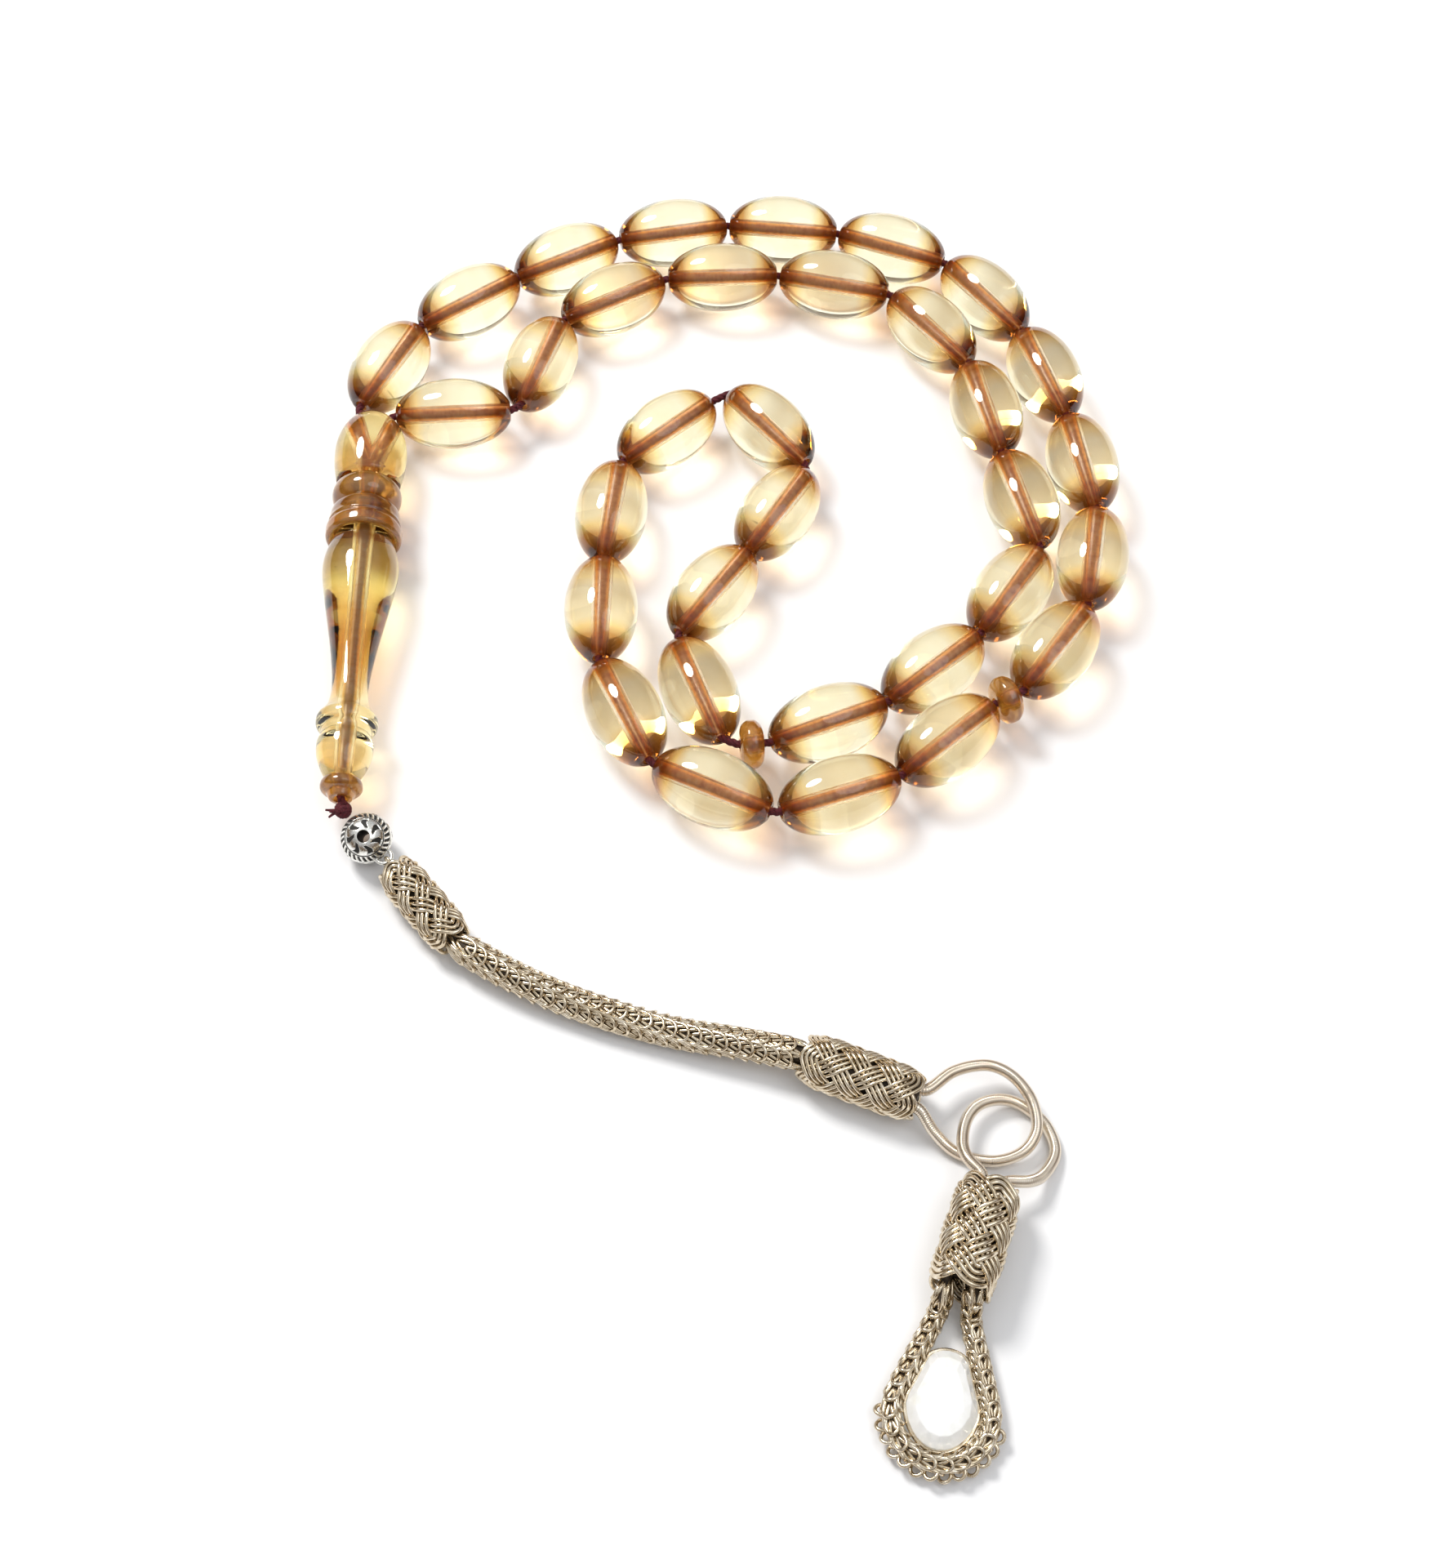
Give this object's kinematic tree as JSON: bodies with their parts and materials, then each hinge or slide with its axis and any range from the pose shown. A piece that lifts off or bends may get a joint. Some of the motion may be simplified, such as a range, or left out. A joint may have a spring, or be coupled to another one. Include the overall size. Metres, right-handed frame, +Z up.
{
  "type": "misbaha prayer beads",
  "caption": "Closed thread loop of clear honey olive beads with spacer discs, a tall turned bead and a woven silver tassel ending in a teardrop pendant with a clear stone.",
  "frame": {"origin": "on the table under the middle of the laid-out object", "axes": "+Z up from the table, +Y along the tall bead from the tassel towards the loop, +X to the right of the tall bead"},
  "size_m": [0.089, 0.1524, 0.0084],
  "materials": {
    "honey_bead": "polished clear honey yellow",
    "cloudy_amber": "polished cloudy dark honey",
    "thread": "twisted silk cord",
    "engraved_silver": "oxidised engraved silver",
    "woven_silver": "woven silver wire, darkened between the strands",
    "wound_wire": "fine wire close-wound on a core",
    "crystal": "clear faceted stone"
  },
  "bodies": {
    "tall_bead": {"imame_head": "honey_bead", "thread_stem": "thread", "knot": "thread"},
    "loop_section_1": {"thread_section_1": "thread"},
    "loop_section_2": {"thread_section_2": "thread"},
    "loop_section_3": {"thread_section_3": "thread"},
    "loop_section_4": {"thread_section_4": "thread"},
    "loop_section_5": {"thread_section_5": "thread"},
    "loop_section_6": {"thread_section_6": "thread"},
    "loop_section_7": {"thread_section_7": "thread"},
    "silver_ball_body": {"silver_ball": "engraved_silver"},
    "upper_sleeve": {"sleeve_1": "woven_silver", "chain_1": "woven_silver"},
    "chain_middle": {"chain_2": "woven_silver"},
    "lower_sleeve": {"chain_3": "woven_silver", "sleeve_2": "woven_silver", "loop_1": "wound_wire"},
    "pendant": {"loop_2": "wound_wire", "sleeve_3": "woven_silver", "pendant_frame": "woven_silver", "crystal": "crystal"},
    "upper_collar": {"collar_upper": "cloudy_amber"},
    "lower_collar": {"collar_lower": "cloudy_amber"},
    "turned_body": {"imame_body": "honey_bead"},
    "end_disc_body": {"end_disc": "cloudy_amber"},
    "bead_01_body": {"bead_01": "honey_bead"},
    "bead_02_body": {"bead_02": "honey_bead"},
    "bead_03_body": {"bead_03": "honey_bead"},
    "bead_04_body": {"bead_04": "honey_bead"},
    "bead_05_body": {"bead_05": "honey_bead"},
    "bead_06_body": {"bead_06": "honey_bead"},
    "bead_07_body": {"bead_07": "honey_bead"},
    "bead_08_body": {"bead_08": "honey_bead"},
    "bead_09_body": {"bead_09": "honey_bead"},
    "bead_10_body": {"bead_10": "honey_bead"},
    "bead_11_body": {"bead_11": "honey_bead"},
    "bead_12_body": {"bead_12": "honey_bead"},
    "bead_13_body": {"bead_13": "honey_bead"},
    "bead_14_body": {"bead_14": "honey_bead"},
    "bead_15_body": {"bead_15": "honey_bead"},
    "bead_16_body": {"bead_16": "honey_bead"},
    "bead_17_body": {"bead_17": "honey_bead"},
    "bead_18_body": {"bead_18": "honey_bead"},
    "bead_19_body": {"bead_19": "honey_bead"},
    "bead_20_body": {"bead_20": "honey_bead"},
    "bead_21_body": {"bead_21": "honey_bead"},
    "bead_22_body": {"bead_22": "honey_bead"},
    "bead_23_body": {"bead_23": "honey_bead"},
    "bead_24_body": {"bead_24": "honey_bead"},
    "bead_25_body": {"bead_25": "honey_bead"},
    "bead_26_body": {"bead_26": "honey_bead"},
    "bead_27_body": {"bead_27": "honey_bead"},
    "bead_28_body": {"bead_28": "honey_bead"},
    "bead_29_body": {"bead_29": "honey_bead"},
    "bead_30_body": {"bead_30": "honey_bead"},
    "bead_31_body": {"bead_31": "honey_bead"},
    "bead_32_body": {"bead_32": "honey_bead"},
    "bead_33_body": {"bead_33": "honey_bead"},
    "spacer_1_body": {"spacer_1": "cloudy_amber"},
    "spacer_2_body": {"spacer_2": "cloudy_amber"}
  },
  "joints": [
    {"name": "loop_fold_1", "type": "hinge", "parent": "tall_bead", "child": "loop_section_1", "pos_m": [-0.02992, 0.04972, 0.0042], "axis": [0.6935, -0.7205, 0], "range_deg": [-20, 20]},
    {"name": "loop_fold_2", "type": "hinge", "parent": "loop_section_1", "child": "loop_section_2", "pos_m": [-0.01003, 0.06706, 0.0042], "axis": [0.6757, -0.7371, 0], "range_deg": [-20, 20]},
    {"name": "loop_fold_3", "type": "hinge", "parent": "loop_section_2", "child": "loop_section_3", "pos_m": [0.02339, 0.06435, 0.0042], "axis": [-0.8004, -0.5995, 0], "range_deg": [-20, 20]},
    {"name": "loop_fold_4", "type": "hinge", "parent": "loop_section_3", "child": "loop_section_4", "pos_m": [0.03534, 0.04023, 0.0042], "axis": [-0.8215, -0.5702, 0], "range_deg": [-20, 20]},
    {"name": "loop_fold_5", "type": "hinge", "parent": "loop_section_4", "child": "loop_section_5", "pos_m": [0.02894, 0.0087, 0.0042], "axis": [-0.4718, 0.8817, 0], "range_deg": [-20, 20]},
    {"name": "loop_fold_6", "type": "hinge", "parent": "loop_section_5", "child": "loop_section_6", "pos_m": [0.00413, -0.00568, 0.0042], "axis": [-0.0621, 0.9981, 0], "range_deg": [-20, 20]},
    {"name": "loop_fold_7", "type": "hinge", "parent": "loop_section_6", "child": "loop_section_7", "pos_m": [-0.01001, 0.01034, 0.0042], "axis": [0.9294, 0.3691, 0], "range_deg": [-20, 20]},
    {"name": "ball_swing", "type": "hinge", "parent": "tall_bead", "child": "silver_ball_body", "pos_m": [-0.03995, -0.00935, 0.0037], "axis": [0, 0, 1], "range_deg": [-30, 20]},
    {"name": "upper_sleeve_swing", "type": "hinge", "parent": "silver_ball_body", "child": "upper_sleeve", "pos_m": [-0.03541, -0.01441, 0.00265], "axis": [0, 0, 1], "range_deg": [-30, 20]},
    {"name": "chain_bend_1", "type": "hinge", "parent": "upper_sleeve", "child": "chain_middle", "pos_m": [-0.01703, -0.0297, 0.0017], "axis": [0, 0, 1], "range_deg": [-20, 20]},
    {"name": "chain_bend_2", "type": "hinge", "parent": "chain_middle", "child": "lower_sleeve", "pos_m": [-0.00543, -0.03347, 0.0017], "axis": [0, 0, 1], "range_deg": [-20, 20]},
    {"name": "pendant_swing", "type": "hinge", "parent": "lower_sleeve", "child": "pendant", "pos_m": [0.02518, -0.0433, 0.002], "axis": [0, 0, 1], "range_deg": [-15, 15]},
    {"name": "collar_upper_spin", "type": "hinge", "parent": "tall_bead", "child": "upper_collar", "pos_m": [-0.04025, 0.0232, 0.0042], "axis": [0, -1, 0], "continuous": true},
    {"name": "collar_lower_spin", "type": "hinge", "parent": "tall_bead", "child": "lower_collar", "pos_m": [-0.04025, 0.0232, 0.0042], "axis": [0, -1, 0], "continuous": true},
    {"name": "imame_body_spin", "type": "hinge", "parent": "tall_bead", "child": "turned_body", "pos_m": [-0.04025, 0.0232, 0.0042], "axis": [0, -1, 0], "continuous": true},
    {"name": "end_disc_spin", "type": "hinge", "parent": "tall_bead", "child": "end_disc_body", "pos_m": [-0.04025, 0.0232, 0.0042], "axis": [0, -1, 0], "continuous": true},
    {"name": "bead_01_spin", "type": "hinge", "parent": "tall_bead", "child": "bead_01_body", "pos_m": [-0.03904, 0.04978, 0.0042], "axis": [0.4384, 0.8988, 0], "continuous": true},
    {"name": "bead_02_spin", "type": "hinge", "parent": "loop_section_1", "child": "bead_02_body", "pos_m": [-0.0303, 0.06001, 0.0042], "axis": [0.8192, 0.5736, 0], "continuous": true},
    {"name": "bead_03_spin", "type": "hinge", "parent": "loop_section_1", "child": "bead_03_body", "pos_m": [-0.01895, 0.06697, 0.0042], "axis": [0.8829, 0.4695, 0], "continuous": true},
    {"name": "bead_04_spin", "type": "hinge", "parent": "loop_section_2", "child": "bead_04_body", "pos_m": [-0.00617, 0.07149, 0.0042], "axis": [0.9816, 0.1908, 0], "continuous": true},
    {"name": "bead_05_spin", "type": "hinge", "parent": "loop_section_2", "child": "bead_05_body", "pos_m": [0.00719, 0.07219, 0.0042], "axis": [0.9962, -0.0872, 0], "continuous": true},
    {"name": "bead_06_spin", "type": "hinge", "parent": "loop_section_2", "child": "bead_06_body", "pos_m": [0.02025, 0.0693, 0.0042], "axis": [0.9397, -0.342, 0], "continuous": true},
    {"name": "bead_07_spin", "type": "hinge", "parent": "loop_section_3", "child": "bead_07_body", "pos_m": [0.03102, 0.06133, 0.0042], "axis": [0.6018, -0.7986, 0], "continuous": true},
    {"name": "bead_08_spin", "type": "hinge", "parent": "loop_section_3", "child": "bead_08_body", "pos_m": [0.0372, 0.04946, 0.0042], "axis": [0.309, -0.9511, 0], "continuous": true},
    {"name": "bead_09_spin", "type": "hinge", "parent": "loop_section_4", "child": "bead_09_body", "pos_m": [0.04037, 0.03625, 0.0042], "axis": [0.1564, -0.9877, 0], "continuous": true},
    {"name": "bead_10_spin", "type": "hinge", "parent": "loop_section_4", "child": "bead_10_body", "pos_m": [0.04025, 0.02287, 0.0042], "axis": [-0.1736, -0.9848, 0], "continuous": true},
    {"name": "bead_11_spin", "type": "hinge", "parent": "loop_section_4", "child": "bead_11_body", "pos_m": [0.03503, 0.01058, 0.0042], "axis": [-0.5878, -0.809, 0], "continuous": true},
    {"name": "bead_12_spin", "type": "hinge", "parent": "loop_section_5", "child": "bead_12_body", "pos_m": [0.02269, -0.00095, 0.0042], "axis": [-0.7547, -0.6561, 0], "continuous": true},
    {"name": "bead_13_spin", "type": "hinge", "parent": "loop_section_5", "child": "bead_13_body", "pos_m": [0.0111, -0.00764, 0.0042], "axis": [-0.9455, -0.3256, 0], "continuous": true},
    {"name": "bead_14_spin", "type": "hinge", "parent": "loop_section_6", "child": "bead_14_body", "pos_m": [-0.00204, -0.00695, 0.0042], "axis": [-0.9063, 0.4226, 0], "continuous": true},
    {"name": "bead_15_spin", "type": "hinge", "parent": "loop_section_6", "child": "bead_15_body", "pos_m": [-0.01124, 0.00242, 0.0042], "axis": [-0.4067, 0.9135, 0], "continuous": true},
    {"name": "bead_16_spin", "type": "hinge", "parent": "loop_section_7", "child": "bead_16_body", "pos_m": [-0.01393, 0.01565, 0.0042], "axis": [0.0175, 0.9998, 0], "continuous": true},
    {"name": "bead_17_spin", "type": "hinge", "parent": "loop_section_7", "child": "bead_17_body", "pos_m": [-0.01301, 0.02891, 0.0042], "axis": [0.1219, 0.9925, 0], "continuous": true},
    {"name": "bead_18_spin", "type": "hinge", "parent": "loop_section_7", "child": "bead_18_body", "pos_m": [-0.00685, 0.04049, 0.0042], "axis": [0.7547, 0.6561, 0], "continuous": true},
    {"name": "bead_19_spin", "type": "hinge", "parent": "loop_section_7", "child": "bead_19_body", "pos_m": [0.00477, 0.04102, 0.0042], "axis": [-0.6293, 0.7771, 0], "continuous": true},
    {"name": "bead_20_spin", "type": "hinge", "parent": "loop_section_7", "child": "bead_20_body", "pos_m": [0.00551, 0.02893, 0.0042], "axis": [0.5299, 0.848, 0], "continuous": true},
    {"name": "bead_21_spin", "type": "hinge", "parent": "loop_section_7", "child": "bead_21_body", "pos_m": [-0.00181, 0.01788, 0.0042], "axis": [0.5736, 0.8192, 0], "continuous": true},
    {"name": "bead_22_spin", "type": "hinge", "parent": "loop_section_6", "child": "bead_22_body", "pos_m": [-0.00337, 0.00519, 0.0042], "axis": [-0.3584, 0.9336, 0], "continuous": true},
    {"name": "bead_23_spin", "type": "hinge", "parent": "loop_section_5", "child": "bead_23_body", "pos_m": [0.01022, 0.00115, 0.0042], "axis": [-0.9272, -0.3746, 0], "continuous": true},
    {"name": "bead_24_spin", "type": "hinge", "parent": "loop_section_5", "child": "bead_24_body", "pos_m": [0.02169, 0.00805, 0.0042], "axis": [-0.766, -0.6428, 0], "continuous": true},
    {"name": "bead_25_spin", "type": "hinge", "parent": "loop_section_4", "child": "bead_25_body", "pos_m": [0.03077, 0.01813, 0.0042], "axis": [-0.5592, -0.829, 0], "continuous": true},
    {"name": "bead_26_spin", "type": "hinge", "parent": "loop_section_4", "child": "bead_26_body", "pos_m": [0.03302, 0.03089, 0.0042], "axis": [0.2419, -0.9703, 0], "continuous": true},
    {"name": "bead_27_spin", "type": "hinge", "parent": "loop_section_3", "child": "bead_27_body", "pos_m": [0.02996, 0.04413, 0.0042], "axis": [0.2079, -0.9781, 0], "continuous": true},
    {"name": "bead_28_spin", "type": "hinge", "parent": "loop_section_3", "child": "bead_28_body", "pos_m": [0.02432, 0.05623, 0.0042], "axis": [0.6157, -0.788, 0], "continuous": true},
    {"name": "bead_29_spin", "type": "hinge", "parent": "loop_section_2", "child": "bead_29_body", "pos_m": [0.01308, 0.06325, 0.0042], "axis": [0.9781, -0.2079, 0], "continuous": true},
    {"name": "bead_30_spin", "type": "hinge", "parent": "loop_section_2", "child": "bead_30_body", "pos_m": [-0.00026, 0.0643, 0.0042], "axis": [0.9986, 0.0523, 0], "continuous": true},
    {"name": "bead_31_spin", "type": "hinge", "parent": "loop_section_1", "child": "bead_31_body", "pos_m": [-0.01323, 0.06058, 0.0042], "axis": [0.8746, 0.4848, 0], "continuous": true},
    {"name": "bead_32_spin", "type": "hinge", "parent": "loop_section_1", "child": "bead_32_body", "pos_m": [-0.02155, 0.05049, 0.0042], "axis": [0.309, 0.9511, 0], "continuous": true},
    {"name": "bead_33_spin", "type": "hinge", "parent": "tall_bead", "child": "bead_33_body", "pos_m": [-0.03127, 0.0429, 0.0042], "axis": [0.9976, 0.0698, 0], "continuous": true},
    {"name": "spacer_1_spin", "type": "hinge", "parent": "loop_section_5", "child": "spacer_1_body", "pos_m": [0.02922, 0.00415, 0.0042], "axis": [-0.9063, -0.4226, 0], "continuous": true},
    {"name": "spacer_2_spin", "type": "hinge", "parent": "loop_section_6", "child": "spacer_2_body", "pos_m": [0.00212, -0.00157, 0.0042], "axis": [-0.9962, -0.0872, 0], "continuous": true}
  ]
}
